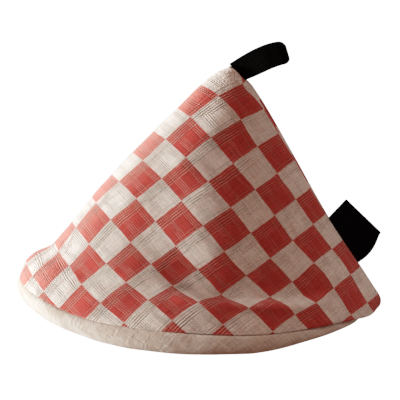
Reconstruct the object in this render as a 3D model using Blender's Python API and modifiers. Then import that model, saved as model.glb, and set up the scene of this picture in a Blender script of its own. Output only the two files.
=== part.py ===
"""Pot holder: a padded cone of checked cloth that stands on its open mouth.

The outer cloth is one half circle, rolled into a cone and closed by a seam on the right.  A cream
lining runs up inside and is turned out at the mouth as a soft hem.  A black tape loop is sewn into
the tip, and a black folded label into the seam.  The cone has sagged a little: a ledge runs round
it above a flared skirt, and its rim is a saddle that touches the table in front and behind.

Lengths are in millimetres here and become metres when a mesh is made.  The origin is on the table,
under the middle of the mouth.  +X points to the seam, -Y to the front, +Z up.
"""

import math

import bmesh
import bpy
import numpy as np

MM = 0.001

# The cone.  A section is the closed curve at one distance down the cloth from the apex, the slant.
# right and left are its reach from the apex's upright, front and back its half depths, and the
# drops are how far it hangs below the apex at the seam, at the left fold and in the middle.  The
# droop is how much further it hangs halfway between the left fold and the middle.
SECTIONS = (
    # slant, right, left, front, back, drop_right, drop_left, drop_middle, droop
    (0.0, 0.0, 0.0, 0.0, 0.0, 0.0, 0.0, 0.0, 0.0),
    (16.0, 8.5, 17.0, 5.0, 5.0, 13.8, 11.3, 15.1, 0.0),
    (36.0, 19.5, 31.5, 11.5, 11.0, 31.0, 25.5, 34.0, 0.0),
    (112.0, 57.0, 85.0, 35.5, 34.0, 96.5, 79.5, 104.7, 0.0),
    (128.0, 65.5, 94.0, 40.8, 39.0, 110.0, 91.0, 119.9, 0.0),
    (144.0, 74.5, 104.0, 49.0, 46.0, 123.5, 102.5, 131.8, 1.0),
    (160.0, 83.5, 113.5, 56.5, 53.0, 137.0, 113.5, 143.2, 2.0),
    (168.0, 88.0, 118.0, 60.3, 56.5, 144.0, 118.0, 147.6, 3.0),
    (176.0, 92.5, 128.5, 64.0, 59.5, 150.5, 122.5, 152.8, 4.0),
    (192.0, 101.0, 136.0, 71.0, 66.5, 161.0, 135.0, 166.5, 4.0),
    (208.0, 106.0, 133.5, 78.0, 73.0, 172.0, 151.0, 180.5, 3.0),
)
APEX_X = 20.8             # the apex's place over the mouth
APEX_Y = 2.5
APEX_HEIGHT = 174.2       # the drop at which the rim rests on the table
POINT_RIGHT = 1.2         # above 1 the section comes to a point, below 1 it is blunt
POINT_LEFT = 0.78
TIP_HALF_DEPTH = 4.6      # the sewn tip is this thick at the least
TIP_SLANT_RIGHT = 14.5    # the tip is cut off aslant
TIP_SLANT_LEFT = 4.3
TIP_CUT_CURVE = 1.6       # brings the cut to one plane
TIP_DOME = (0.5, 0.0, 0.5)

# The front has sagged: the cloth hangs straight down to a ledge and runs out along it.
LEDGE = (
    # slant past the ledge's top, inwards, down
    (-30.0, 0.0, 0.0),
    (-26.0, 0.0, 0.0),
    (-18.0, 1.1, 1.0),
    (-10.0, 2.2, 2.1),
    (-4.0, 2.7, 3.1),
    (0.0, 2.9, 3.4),
    (6.0, 1.0, 1.6),
    (12.0, -0.6, 0.2),
    (18.0, 0.0, 0.0),
    (24.0, 0.0, 0.0),
)
# Degrees round the section, from the seam over the front.
LEDGE_TOP = (
    # degrees, slant
    (40.0, 156.0),
    (62.0, 154.0),
    (92.0, 153.5),
    (104.0, 149.0),
    (114.0, 146.0),
    (132.0, 144.0),
)
LEDGE_RISES = (36.0, 60.0)
LEDGE_FADES = (100.0, 132.0)

# The layers, measured inwards from the outer face.
OUTER_THICK = 3.0
LINING_FACE = 3.9
LINING_THICK = 2.2
STEEPEST = 1.8            # the most that a slope may widen a wall measured level
TIP_SOLID = 10.0          # sewn solid cloth at the tip
LINING_TIP = 16.0
LINING_TIP_INSIDE = 24.0

# The lower edge of the checked cloth, and the lining turned out below it.
EDGE_SLANT_SEAM = 180.0
EDGE_SLANT_LEFT = 194.0
EDGE_CURVE = 1.5
EDGE_ROUND = 0.8
HEM_HEIGHT = 13.8
HEM_PROUD = 1.4           # how far the roll stands out past the checked cloth
HEM_GAP = 0.4
HEM_TUCK = 2.0            # at the seam the hem is hidden inside
HEM_STUB = 1.6
HEM_OPENS = (6.0, 50.0)   # degrees round the cut between which the roll grows to its height
HEM_TUCKS = (4.0, 14.0)
HEM_SWELL = 0.8           # below 1 the roll grows faster near the seam
# The roll's section: how far down it, and how far in from its outermost face, each as a share.
ROLL = (
    # down, inwards
    (0.00, 0.98),
    (0.00, 0.20),
    (0.16, 0.05),
    (0.42, 0.00),
    (0.70, 0.04),
    (0.90, 0.20),
    (1.00, 0.42),
    (1.00, 0.68),
    (0.86, 0.92),
    (0.55, 1.03),
)

COLUMNS = 64
OUTER_ROWS = 24
INNER_ROWS = 20

# The hanging loop: black tape folded double, its flat side to the front.
LOOP_ROOT = (1.8, 7.8)        # right of and below the apex
LOOP_LENGTH = 30.5
LOOP_THICK = 1.2
LOOP_HEADINGS = (26.0, 0.0)   # degrees above level, at the root and at the end
LOOP_HALF_WIDTHS = (6.9, 7.1)
LOOP_SKEWS = (-48.0, -73.0)   # the way across the tape, at the root and at the end
LOOP_HALF_EYE = 4.4           # centre of the tape to the loop's middle plane
LOOP_HALF_ROOT = 0.8
LOOP_OPENS = 0.75             # the share of each side over which the eye opens
LOOP_SKEWED = 0.62            # the share of the loop by which it has its end's skew
LOOP_BEND_POWER = 3           # most of the bend is near the end
LOOP_BEND_STEPS = 24
LOOP_SIDE_STEPS = 11
LOOP_TURN_STEPS = 8
LOOP_SEAT = 1.4               # from the tip's end to the loop's root

# The side label: a black tab folded at its far edge, its ends in the seam.
LABEL_SEAM_SLANTS = (115.5, 147.5)
LABEL_FAR_TOP = (69.3, 88.4)      # right of and below the apex
LABEL_FAR_BOTTOM = (91.4, 109.5)
LABEL_ROUND = 3.0                 # the lower edge bows out by this
LABEL_ROUND_POWER = 4             # and the rest hardly at all
LABEL_THICK = 1.0
LABEL_HALF_FOLD = 0.7
LABEL_SEAT = 0.4                  # from the seam's edge to the label's root
LABEL_STEPS = 8
LABEL_SIDE_STEPS = 5
LABEL_TURN_STEPS = 4


def ease(value, low, high):
    """0 below low, 1 above high and a smooth change between them."""
    share = np.clip((value - low) / (high - low), 0.0, 1.0)
    return share * share * (3.0 - 2.0 * share)


def column_at(slant, column, rows=SECTIONS):
    """One column of a table at each slant, on a smooth curve, with its change per millimetre."""
    table = np.array(rows)
    knots, values = table[:, 0], table[:, column]
    steps = np.diff(values) / np.diff(knots)
    tangents = np.concatenate([steps[:1], 0.5 * (steps[:-1] + steps[1:]), steps[-1:]])
    place = np.clip(np.searchsorted(knots, slant, side="right") - 1, 0, len(steps) - 1)
    width = np.diff(knots)[place]
    x = (slant - knots[place]) / width
    low, high = values[place], values[place + 1]
    low_slope, high_slope = tangents[place] * width, tangents[place + 1] * width
    value = (low * (2 * x**3 - 3 * x**2 + 1) + low_slope * (x**3 - 2 * x**2 + x)
             + high * (3 * x**2 - 2 * x**3) + high_slope * (x**3 - x**2))
    change = (low * (6 * x**2 - 6 * x) + low_slope * (3 * x**2 - 4 * x + 1)
              + high * (6 * x - 6 * x**2) + high_slope * (3 * x**2 - 2 * x)) / width
    return value, change


def section_sizes(slant, inset):
    """Reach to right, left, front and back, and the drops, of each section."""
    right, right_change = column_at(slant, 1)
    left, left_change = column_at(slant, 2)
    front, front_change = column_at(slant, 3)
    back, back_change = column_at(slant, 4)
    drop_right, right_fall = column_at(slant, 5)
    drop_left, left_fall = column_at(slant, 6)
    drop_middle, middle_fall = column_at(slant, 7)
    droop = column_at(slant, 8)[0]

    def level(change, fall):
        return inset * np.clip(np.hypot(1.0, change / fall), 1.0, STEEPEST)

    right = right - level(right_change, right_fall)
    left = left - level(left_change, left_fall)
    front = np.hypot(front, TIP_HALF_DEPTH) - level(front_change, middle_fall)
    back = np.hypot(back, TIP_HALF_DEPTH) - level(back_change, middle_fall)
    return right, left, front, back, drop_right, drop_left, drop_middle, droop, slant


def ledge_shift(slant, angle):
    """How far the front's ledge moves a point inwards and down."""
    degrees = np.degrees(angle)
    knots, tops = np.array(LEDGE_TOP).T
    past = np.clip(slant - np.interp(degrees, knots, tops), LEDGE[0][0], LEDGE[-1][0])
    share = ease(degrees, *LEDGE_RISES) * (1.0 - ease(degrees, *LEDGE_FADES))
    return column_at(past, 1, LEDGE)[0] * share, column_at(past, 2, LEDGE)[0] * share


def section_points(sizes, angle):
    """Points on a section.  The angle runs from the seam (0) over the front to the left fold (pi)
    and over the back to the seam again (2 pi)."""
    right, left, front, back, drop_right, drop_left, drop_middle, droop, slant = sizes
    inwards, down = ledge_shift(slant, angle)
    toward_seam = 0.5 * (1.0 + np.cos(angle))
    across = np.abs(np.sin(angle))
    shape = across ** (POINT_RIGHT * toward_seam + POINT_LEFT * (1.0 - toward_seam))
    x = 0.5 * (right - left) + 0.5 * (right + left) * np.cos(angle)
    y = np.where(angle <= math.pi, -front, back) * shape + inwards
    sag = drop_middle - 0.5 * (drop_right + drop_left)
    drop = drop_right * toward_seam + drop_left * (1.0 - toward_seam) + sag * across**2 + down
    drop = drop + droop * np.where(np.cos(angle) < 0.0, np.sin(2.0 * angle) ** 2, 0.0)
    return np.stack([APEX_X + x, APEX_Y + y, APEX_HEIGHT - drop], axis=-1)


def cloth_points(slant, turn, inset):
    """Points of the cone.  turn is the angle round the flat half circle, 0 to pi from the seam
    over the front, and inset how deep the point lies under the outer face."""
    slant, turn, inset = np.broadcast_arrays(
        np.asarray(slant, float), np.asarray(turn, float), np.asarray(inset, float))
    angles = np.linspace(0.0, 2.0 * math.pi, 241)
    points = np.empty(slant.shape + (3,))
    for place in np.ndindex(slant.shape):
        sizes = section_sizes(slant[place], 0.0)
        curve = section_points(sizes, angles)
        run = np.concatenate([[0.0], np.cumsum(np.linalg.norm(np.diff(curve, axis=0), axis=1))])
        angle = np.interp(turn[place] / math.pi * run[-1], run, angles)
        points[place] = section_points(section_sizes(slant[place], inset[place]), angle)
    return points


def tip_slant(turn):
    """Where the tip is cut off, straight across and aslant."""
    toward_seam = (1.0 - np.sin(turn)) ** TIP_CUT_CURVE
    return TIP_SLANT_LEFT + (TIP_SLANT_RIGHT - TIP_SLANT_LEFT) * toward_seam


def edge_slant(turn):
    """The lower edge of the checked cloth, longer at the left fold than at the seam."""
    return EDGE_SLANT_SEAM + (EDGE_SLANT_LEFT - EDGE_SLANT_SEAM) * np.sin(turn) ** EDGE_CURVE


def from_seam(turn):
    """Degrees round the cut from the nearer end of the seam."""
    return np.degrees(np.minimum(turn, math.pi - turn))


def outer_profile(turn):
    """Slants and insets down the outer face, round the edge and up the inner face."""
    tip, edge = tip_slant(turn), edge_slant(turn)
    down = np.linspace(0.0, 1.0, OUTER_ROWS)
    up = np.linspace(1.0, 0.0, INNER_ROWS)
    slants = [tip + share * (edge - EDGE_ROUND - tip) for share in down]
    insets = [0.0 * turn for _ in down]
    slants.append(edge)
    insets.append(0.0 * turn + 0.5 * OUTER_THICK)
    slants += [shared_slant(turn, share) for share in up]
    insets += [0.0 * turn + OUTER_THICK for _ in up]
    slants.append(tip + TIP_SOLID)
    insets.append(0.0 * turn + OUTER_THICK)
    return np.array(slants), np.array(insets)


def shared_slant(turn, share):
    """Rows where the outer cloth's inner face and the lining lie on each other."""
    top = tip_slant(turn) + LINING_TIP
    return top + share * (edge_slant(turn) - EDGE_ROUND - top)


def lining_profile(turn):
    """Slants and insets down the lining's outer face, round the hem and up its inner face."""
    degrees = from_seam(turn)
    open_share = ease(degrees, *HEM_OPENS) ** HEM_SWELL
    tuck_share = 1.0 - ease(degrees, *HEM_TUCKS)
    inside = LINING_FACE + LINING_THICK
    roll_top = edge_slant(turn) + HEM_GAP - (HEM_GAP + HEM_TUCK) * tuck_share
    roll_height = HEM_STUB + (HEM_HEIGHT - HEM_STUB) * open_share
    roll_thick = LINING_THICK + (inside + HEM_PROUD - LINING_THICK) * open_share
    down = np.linspace(0.0, 1.0, INNER_ROWS)[:-1]
    slants = [shared_slant(turn, share) for share in down]
    insets = [0.0 * turn + LINING_FACE for _ in down]
    for along, inwards in ROLL:
        slants.append(roll_top + along * roll_height)
        insets.append(inside - (1.0 - inwards) * roll_thick)
    # the roll's first point is where the outer face of the sheet meets it
    insets[len(down)] = 0.0 * turn + LINING_FACE
    top = tip_slant(turn) + LINING_TIP_INSIDE
    for share in np.linspace(1.0, 0.0, INNER_ROWS)[1:]:
        slants.append(top + share * (edge_slant(turn) - top))
        insets.append(0.0 * turn + inside)
    return np.array(slants), np.array(insets)


def finish_mesh(mesh, sharp_degrees):
    """Round cloth is smooth, and its cut edges stay crisp."""
    mesh.shade_smooth()
    mesh.set_sharp_from_angle(angle=math.radians(sharp_degrees))


def add_part(name, mesh, collection, material):
    part = bpy.data.objects.new(name, mesh)
    part.data.materials.append(material)
    collection.objects.link(part)
    return part


def cone_shell(name, profile, dome, collection, material):
    """A cloth cone as one closed skin: a sphere whose rings run down the outside and up the
    inside, with a pole at the outer tip, raised by the dome, and one at the inner tip."""
    turns = math.pi * (1.0 - np.arange(COLUMNS) / COLUMNS)
    slants, insets = profile(turns)
    points = cloth_points(slants, turns[None, :], insets)
    points[..., 2] = np.maximum(points[..., 2], 0.0)   # flat where it rests on the table
    rings = len(points) + 1
    poles = [points[0].mean(axis=0) + np.array(dome), points[-1].mean(axis=0)]
    shape = bmesh.new()
    bmesh.ops.create_uvsphere(shape, u_segments=COLUMNS, v_segments=rings, radius=1.0)
    for vertex in shape.verts:
        longitude = math.atan2(vertex.co.y, vertex.co.x) % (2.0 * math.pi)
        column = round(longitude / (2.0 * math.pi) * COLUMNS) % COLUMNS
        ring = round((0.5 - math.asin(max(-1.0, min(1.0, vertex.co.z))) / math.pi) * rings)
        if ring in (0, rings):
            place = poles[0] if ring == 0 else poles[1]
        else:
            place = points[ring - 1, column]
        vertex.co = [MM * value for value in place]
    mesh = bpy.data.meshes.new(name)
    shape.to_mesh(mesh)
    shape.free()
    finish_mesh(mesh, 60.0)
    return add_part(name, mesh, collection, material)


def strip_part(name, place, steps_along, steps_across, thickness, collection, material):
    """A flat grid bent into shape: place(along, across) maps shares to millimetres."""
    shape = bmesh.new()
    bmesh.ops.create_grid(shape, x_segments=steps_along, y_segments=steps_across, size=0.5)
    for vertex in shape.verts:
        spot = place(vertex.co.x + 0.5, vertex.co.y + 0.5)
        vertex.co = [MM * value for value in spot]
    mesh = bpy.data.meshes.new(name)
    shape.to_mesh(mesh)
    shape.free()
    finish_mesh(mesh, 60.0)
    part = add_part(name, mesh, collection, material)
    solid = part.modifiers.new("Cloth", "SOLIDIFY")
    solid.thickness = thickness * MM
    solid.offset = 0.0
    return part


def fold_path(share, length, half_gap_root, half_gap_end, side_steps, turn_steps):
    """A strip folded back on itself.  Gives how far out along the fold's length the strip is, and
    its offset to the front (-) or back (+), at a share of the strip from one end to the other."""
    steps = 2 * side_steps + turn_steps
    step = share * steps
    reach = length - half_gap_end
    if side_steps <= step <= side_steps + turn_steps:
        angle = math.pi * (step - side_steps) / turn_steps
        return reach + half_gap_end * math.sin(angle), -half_gap_end * math.cos(angle)
    side = min(step, steps - step) / side_steps
    gap = half_gap_root + (half_gap_end - half_gap_root) * float(ease(side, 0.0, LOOP_OPENS))
    return reach * side, math.copysign(gap, step - 0.5 * steps)


def loop_place(share_along, share_across):
    out, offset = fold_path(share_along, LOOP_LENGTH, LOOP_HALF_ROOT, LOOP_HALF_EYE,
                            LOOP_SIDE_STEPS, LOOP_TURN_STEPS)
    first, last = (math.radians(heading) for heading in LOOP_HEADINGS)
    x, drop = LOOP_ROOT
    for step in range(LOOP_BEND_STEPS):
        part_way = (step + 0.5) / LOOP_BEND_STEPS * out / LOOP_LENGTH
        heading = first + (last - first) * part_way**LOOP_BEND_POWER
        x += math.cos(heading) * out / LOOP_BEND_STEPS
        drop -= math.sin(heading) * out / LOOP_BEND_STEPS
    part_way = out / LOOP_LENGTH
    skewed = min(1.0, part_way / LOOP_SKEWED)
    skew = math.radians(LOOP_SKEWS[0] + (LOOP_SKEWS[1] - LOOP_SKEWS[0]) * skewed)
    half_width = LOOP_HALF_WIDTHS[0] + (LOOP_HALF_WIDTHS[1] - LOOP_HALF_WIDTHS[0]) * part_way
    across = (2.0 * share_across - 1.0) * half_width
    cut = math.radians(LOOP_SKEWS[0])
    return (APEX_X + x + across * math.cos(skew) - LOOP_SEAT * math.sin(cut),
            APEX_Y + offset,
            APEX_HEIGHT - drop + across * math.sin(skew) + LOOP_SEAT * math.cos(cut))


def label_place(share_along, share_across):
    """share_along runs over the folded strip, share_across down the seam."""
    slant = LABEL_SEAM_SLANTS[0] + (LABEL_SEAM_SLANTS[1] - LABEL_SEAM_SLANTS[0]) * share_across
    seam = cloth_points(slant, 0.0, 0.0)
    top = np.array([APEX_X + LABEL_FAR_TOP[0], APEX_Y, APEX_HEIGHT - LABEL_FAR_TOP[1]])
    bottom = np.array([APEX_X + LABEL_FAR_BOTTOM[0], APEX_Y, APEX_HEIGHT - LABEL_FAR_BOTTOM[1]])
    far = top + (bottom - top) * share_across
    width = np.linalg.norm(far - seam)
    outward = (far - seam) / width
    out, offset = fold_path(share_along, width - LABEL_SEAT, LABEL_HALF_FOLD, LABEL_HALF_FOLD,
                            LABEL_SIDE_STEPS, LABEL_TURN_STEPS)
    bulge = math.sin(math.pi * min(1.0, out / width))
    bow = LABEL_ROUND * bulge * share_across**LABEL_ROUND_POWER
    down = (bottom - top) / np.linalg.norm(bottom - top)
    return seam + outward * (LABEL_SEAT + out) + down * bow + np.array([0.0, offset, 0.0])


def plain_material(name, colour, roughness):
    material = bpy.data.materials.new(name)
    material.use_nodes = True
    shader = material.node_tree.nodes["Principled BSDF"]
    shader.inputs["Base Color"].default_value = (*colour, 1.0)
    shader.inputs["Roughness"].default_value = roughness
    shader.inputs["Metallic"].default_value = 0.0
    return material


def main():
    for thing in list(bpy.data.objects):
        bpy.data.objects.remove(thing, do_unlink=True)
    holder = bpy.data.collections.new("Pot holder")
    bpy.context.scene.collection.children.link(holder)

    checked = plain_material("Checked cotton", (0.62, 0.30, 0.26), 0.9)
    cream = plain_material("Cream cotton", (0.78, 0.72, 0.64), 0.9)
    tape = plain_material("Black tape", (0.012, 0.012, 0.013), 0.85)
    ribbon = plain_material("Black ribbon", (0.016, 0.016, 0.018), 0.6)

    cone_shell("outer_cloth", outer_profile, TIP_DOME, holder, checked)
    cone_shell("lining", lining_profile, (0.0, 0.0, 0.0), holder, cream)
    strip_part("hanging_loop", loop_place, 2 * LOOP_SIDE_STEPS + LOOP_TURN_STEPS, 4,
               LOOP_THICK, holder, tape)
    strip_part("side_label", label_place, 2 * LABEL_SIDE_STEPS + LABEL_TURN_STEPS, LABEL_STEPS,
               LABEL_THICK, holder, ribbon)


main()
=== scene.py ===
"""Looks of the pot holder: a padded cone of red and white checked cloth on its open mouth.

The four cloth pieces repeat the sections, profiles and folds of the part in finer steps, with the
cloth's own soft creases, and carry procedural weaves.  Lengths are in millimetres here and become
metres when a mesh is made.  +X points to the seam, -Y to the front, +Z up.
"""

import math
from typing import NamedTuple

import bpy
import numpy as np
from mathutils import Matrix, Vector, noise


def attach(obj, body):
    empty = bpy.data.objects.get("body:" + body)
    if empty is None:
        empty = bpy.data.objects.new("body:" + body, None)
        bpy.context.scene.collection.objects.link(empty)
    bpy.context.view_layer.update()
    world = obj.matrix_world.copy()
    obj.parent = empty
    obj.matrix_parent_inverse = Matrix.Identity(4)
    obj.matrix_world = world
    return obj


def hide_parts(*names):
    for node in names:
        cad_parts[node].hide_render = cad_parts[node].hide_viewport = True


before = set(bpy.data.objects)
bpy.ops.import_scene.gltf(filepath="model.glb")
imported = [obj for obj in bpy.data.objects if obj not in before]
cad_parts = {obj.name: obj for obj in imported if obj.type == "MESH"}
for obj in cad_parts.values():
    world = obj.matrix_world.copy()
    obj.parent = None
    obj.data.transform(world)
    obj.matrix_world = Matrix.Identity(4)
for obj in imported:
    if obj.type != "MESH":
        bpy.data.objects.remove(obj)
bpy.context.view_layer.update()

MM = 0.001

# ---------------------------------------------------------------- the cone, as the part has it
SECTIONS = (
    # slant, right, left, front, back, drop_right, drop_left, drop_middle, droop
    (0.0, 0.0, 0.0, 0.0, 0.0, 0.0, 0.0, 0.0, 0.0),
    (16.0, 8.5, 17.0, 5.0, 5.0, 13.8, 11.3, 15.1, 0.0),
    (36.0, 19.5, 31.5, 11.5, 11.0, 31.0, 25.5, 34.0, 0.0),
    (112.0, 57.0, 85.0, 35.5, 34.0, 96.5, 79.5, 104.7, 0.0),
    (128.0, 65.5, 94.0, 40.8, 39.0, 110.0, 91.0, 119.9, 0.0),
    (144.0, 74.5, 104.0, 49.0, 46.0, 123.5, 102.5, 131.8, 1.0),
    (160.0, 83.5, 113.5, 56.5, 53.0, 137.0, 113.5, 143.2, 2.0),
    (168.0, 88.0, 118.0, 60.3, 56.5, 144.0, 118.0, 147.6, 3.0),
    (176.0, 92.5, 128.5, 64.0, 59.5, 150.5, 122.5, 152.8, 4.0),
    (192.0, 101.0, 136.0, 71.0, 66.5, 161.0, 135.0, 166.5, 4.0),
    (208.0, 106.0, 133.5, 78.0, 73.0, 172.0, 151.0, 180.5, 3.0),
)
APEX_X = 20.8
APEX_Y = 2.5
APEX_HEIGHT = 174.2
POINT_RIGHT = 1.2
POINT_LEFT = 0.78
TIP_HALF_DEPTH = 4.6
TIP_SLANT_RIGHT = 14.5
TIP_SLANT_LEFT = 4.3
TIP_CUT_CURVE = 1.6
TIP_DOME = (0.5, 0.0, 0.5)   # how far the middle of the tip stands out

# The front has sagged: the cloth hangs straight down to a ledge and runs out along it.
LEDGE = (
    # slant past the ledge's top, inwards, down
    (-30.0, 0.0, 0.0),
    (-26.0, 0.0, 0.0),
    (-18.0, 1.2, 1.0),
    (-10.0, 2.6, 2.2),
    (-4.0, 3.3, 3.3),
    (0.0, 3.5, 3.7),
    (6.0, 1.2, 1.7),
    (12.0, -0.6, 0.2),
    (18.0, 0.0, 0.0),
    (24.0, 0.0, 0.0),
)
# Where the ledge's top runs, round the section from the seam over the front.
LEDGE_TOP = (
    # degrees, slant
    (40.0, 156.0),
    (62.0, 154.0),
    (92.0, 153.5),
    (104.0, 149.0),
    (114.0, 146.0),
    (132.0, 144.0),
)
LEDGE_RISES = (36.0, 60.0)    # degrees between which the ledge comes up
LEDGE_FADES = (88.0, 114.0)   # and dies out again

OUTER_THICK = 3.0
LINING_FACE = 3.9         # how deep the lining's outer face lies
LINING_THICK = 2.2
STEEPEST = 1.8            # the most that a slope widens an inset
TIP_SOLID = 10.0          # how far down the outer cloth's tip is solid
LINING_TIP = 16.0         # how far down the lining's two faces begin
LINING_TIP_INSIDE = 24.0

EDGE_SLANT_SEAM = 180.0
EDGE_SLANT_LEFT = 194.0
EDGE_CURVE = 1.5
EDGE_ROUND = 0.8          # the fold along the lower edge
# The checked cloth hangs lower beside the seam.
EDGE_SHIFT = (
    # run from the seam, down
    (0.0, 2.2),
    (8.0, 2.5),
    (16.0, 2.6),
    (27.0, 2.6),
    (38.0, 2.1),
    (48.0, 1.2),
    (62.0, 0.1),
    (83.0, 0.2),
    (103.0, 0.5),
    (130.0, 0.3),
    (150.0, 0.0),
    (170.0, 0.0),
)
CORNER_CUT = 2.5          # the corner at the seam's foot is rounded off by this much
CORNER_RUN = 12.0
CORNER_TUCK = 2.9         # and the seam's foot bends inwards
CORNER_TUCK_RISE = 8.0    # from this far above the edge
CORNER_TUCK_MOST = 1.3    # and on below it, up to this share
CORNER_TUCK_RUNS = (5.0, 36.0)
TIP_TUCK = 1.5            # how far the cloth dips where the loop is sewn in
TIP_TUCK_REACH = 7.0
HEM_HEIGHT = 13.8
HEM_PROUD = 1.4           # how far the roll stands out past the checked cloth
HEM_GAPS = (-0.3, -0.9)   # from the checked cloth's edge down to the roll, at the seam and at
                          # the left fold; below 0 the roll starts behind the edge
HEM_GAP_TURNS = (50.0, 75.0)
HEM_TUCK = 2.0            # at the seam the hem is hidden inside
HEM_STUB = 1.6            # the roll's height there
# How far the hem's roll is open, along the mouth.
HEM_OPEN = (
    # degrees from the seam, share
    (0.0, 0.0),
    (10.0, 0.02),
    (14.0, 0.28),
    (20.0, 0.46),
    (28.0, 0.63),
    (34.0, 0.84),
    (40.0, 0.96),
    (48.0, 1.0),
    (70.0, 1.0),
    (91.0, 1.0),
)
HEM_TUCKS = (4.0, 14.0)   # degrees between which it comes out
HEM_FILLS = 0.6           # the roll is full before it is high
ROLL = (
    # down and inwards, in shares of the roll's height and thickness
    (0.00, 0.98),
    (0.00, 0.20),
    (0.16, 0.05),
    (0.42, 0.00),
    (0.70, 0.04),
    (0.90, 0.20),
    (1.00, 0.42),
    (1.00, 0.68),
    (0.86, 0.92),
    (0.55, 1.03),
)

LOOP_ROOT = (1.6, 7.2)
LOOP_LENGTH = 34.0
LOOP_THICK = 1.2
LOOP_HEADINGS = (28.0, 2.0)
LOOP_HALF_WIDTHS = (7.0, 7.1)
LOOP_BULGE = 0.7
LOOP_SKEWS = (-48.0, -73.0)
LOOP_HALF_EYE = 4.4
LOOP_HALF_ROOT = 0.8
LOOP_SKEWED = 0.62        # the share of the loop by which it has its end's skew
LOOP_BEND_POWER = 3
LOOP_BEND_STEPS = 24
LOOP_SIDE_STEPS = 30
LOOP_TURN_STEPS = 16
LOOP_STEPS_ACROSS = 14
LOOP_SEAT = -1.6          # the root is this far inside the cloth
LOOP_CORNER = 3.5         # how far the corners at the end are rounded
LOOP_CORNER_MOST = 0.95
FOLD_OPENS = 0.75         # the share of each side over which a fold opens

LABEL_SEAM_SLANTS = (115.5, 149.0)
LABEL_FAR_TOP = (69.3, 88.4)
LABEL_FAR_BOTTOM = (91.4, 109.5)
LABEL_ROUND = 2.4
LABEL_ROUND_POWER = 4
LABEL_THICK = 1.0
LABEL_HALF_FOLD = 0.7
LABEL_SEAT = -1.3
LABEL_SIDE_STEPS = 24
LABEL_TURN_STEPS = 8
LABEL_STEPS_ACROSS = 24
STRIP_EDGE_ANGLES = (60.0, 30.0, 0.0, -30.0, -60.0)

# ---------------------------------------------------------------- the finer steps
COLUMNS = 352
SEAM_CROWDING = 0.45      # how much closer the columns stand at the seam
OUTER_ROWS = 210
EDGE_ROWS = 7
HIDDEN_ROWS = 24
ROLL_FINER = 4            # rows for each row of ROLL
ROLL_SOFTENINGS = 6
INSIDE_ROWS = 70
TABLE_STEP = 0.5          # mm of slant between the sections that are measured along
TABLE_SHARES = 721
BAKE_MARGIN = 1.04
BAKE_HALF_GAP = 0.006     # between the two halves of the bake's square
BAKE_CORNER = 0.02

# The checks: 20 mm squares, square to each other on the flat half circle.
CHECK = 20.0
PATTERN_TURN = 0.03       # radians from the seam's edge to the pattern's own axis
PATTERN_SPREAD = 3.24     # the most radians that a section takes up in the pattern
# Where the cloth has been pulled out of square, in checks.
PULLS = (
    # a, b, reach, pull_a, pull_b
    (3.9, 8.2, 1.6, 0.15, -0.09),
    (5.2, 6.4, 1.1, 0.09, -0.02),
    (6.6, 4.2, 0.6, 0.11, 0.14),
    (0.2, 8.9, 1.0, -0.52, 0.18),
    (0.5, 5.4, 1.5, -0.12, 0.16),
    (8.9, 2.1, 1.0, 0.02, -0.42),
    (4.2, 1.4, 1.2, -0.08, -0.02),
    (7.0, 2.0, 0.7, 0.06, 0.10),
    (0.6, 1.2, 0.6, -0.06, 0.17),
    (0.8, 0.3, 0.4, -0.14, -0.18),
    (1.8, 0.2, 0.5, -0.16, 0.02),
    (1.6, 1.2, 0.5, -0.02, 0.12),
    (1.5, 6.2, 0.6, 0.10, -0.02),
    (0.3, 0.1, 0.3, 0.0, 0.30),
    (2.2, 0.3, 1.0, 0.0, -0.10),
    (1.8, 4.6, 1.0, 0.12, 0.0),
    (4.2, 3.2, 0.9, -0.07, 0.08),
    (1.5, 2.6, 0.8, 0.08, 0.0),
)

# Soft troughs and ridges: from one place on the flat cloth to another, in checks, with the half
# width and the height in millimetres.
CREASES = (
    # a0, b0, a1, b1, half_width, height
    (2.2, 7.4, 5.2, 6.4, 5.0, 0.3),
    (5.2, 6.4, 8.0, 3.6, 5.0, 0.6),
    (5.0, 5.0, 7.2, 3.4, 6.0, -0.6),
    (2.8, 3.2, 4.7, 4.6, 11.0, 1.2),
    (1.2, 1.5, 1.7, 3.4, 8.0, 1.1),
    (2.7, 5.3, 5.2, 6.6, 8.0, -0.6),
    (4.6, 4.6, 5.3, 5.3, 8.0, 0.6),
)
UNEVEN = (
    # wavelength, height, seed
    (26.0, 0.55, 3.0),
    (11.0, 0.22, 17.0),
)
RELIEF_LIMITS = (-1.6, 2.5)
TIP_FADE = 10.0           # the relief dies out this near to the tip
SEAM_FADE = 6.0           # and to the seam
SEAM_GROOVE = 0.7
SEAM_GROOVE_WIDTH = 0.9
# How far in front of the cone's right edge the seam runs.
SEAM_FORWARD = (
    # slant, forward
    (0.0, 2.6),
    (40.0, 2.6),
    (90.0, 2.0),
    (125.0, 1.2),
    (150.0, 0.8),
    (210.0, 0.8),
)
HEM_UNEVEN = (
    # wavelength, height, seed
    (34.0, 0.6, 41.0),
    (12.0, 0.3, 57.0),
)
INSIDE_FADE_ROWS = 8.0    # the inside is even over this many rows from the hem


def ease(value, low, high):
    """0 below low, 1 above high and a smooth change between them."""
    share = np.clip((value - low) / (high - low), 0.0, 1.0)
    return share * share * (3.0 - 2.0 * share)


def between(low, high, share):
    """The value at a share of the way from low to high."""
    return low + (high - low) * share


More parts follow.
